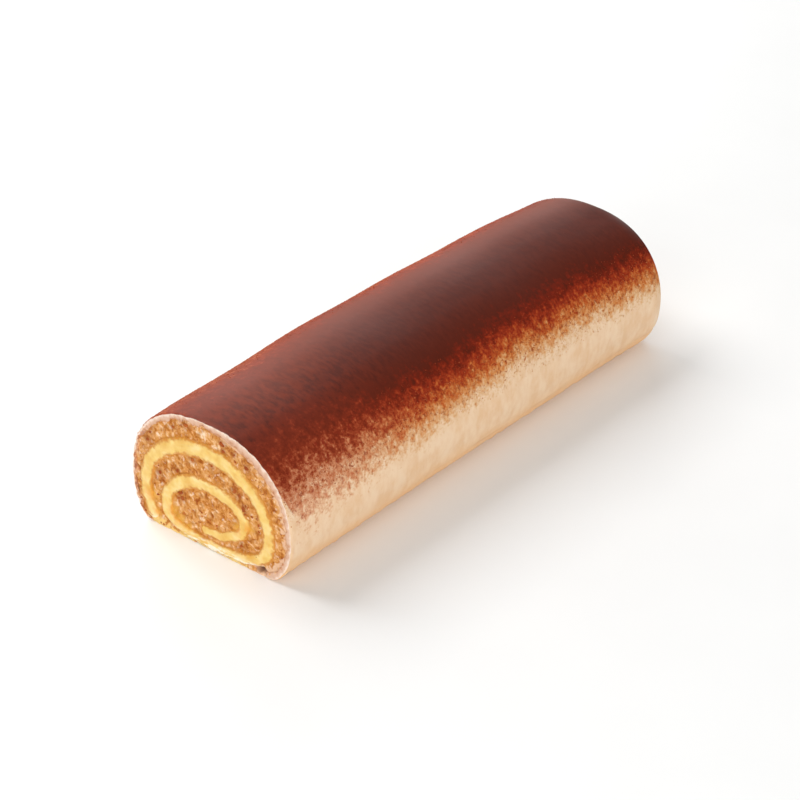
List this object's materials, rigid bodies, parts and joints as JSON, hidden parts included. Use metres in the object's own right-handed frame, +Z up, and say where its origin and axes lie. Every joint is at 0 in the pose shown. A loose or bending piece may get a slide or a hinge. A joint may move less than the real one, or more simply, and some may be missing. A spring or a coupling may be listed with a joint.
{
  "type": "almond roll cake",
  "caption": "Rolled almond sponge with a custard spiral, a cream coat and a cocoa-dusted top, cut square at both ends.",
  "frame": {"origin": "middle of the cake's base, on the surface it stands on", "axes": "+X along the roll from the cut face seen in the picture to the far end, +Z up; the side seen in the picture looks towards -Y"},
  "size_m": [0.256, 0.0914, 0.067],
  "materials": {
    "sponge": "matte open crumb of a brown almond sponge",
    "custard": "soft satin egg custard",
    "cream_coat": "smooth cream, velvety under cocoa on the top and bare on the lower sides"
  },
  "bodies": {
    "root": {"sponge": "sponge", "custard": "custard", "cream_coat": "cream_coat"}
  },
  "joints": []
}
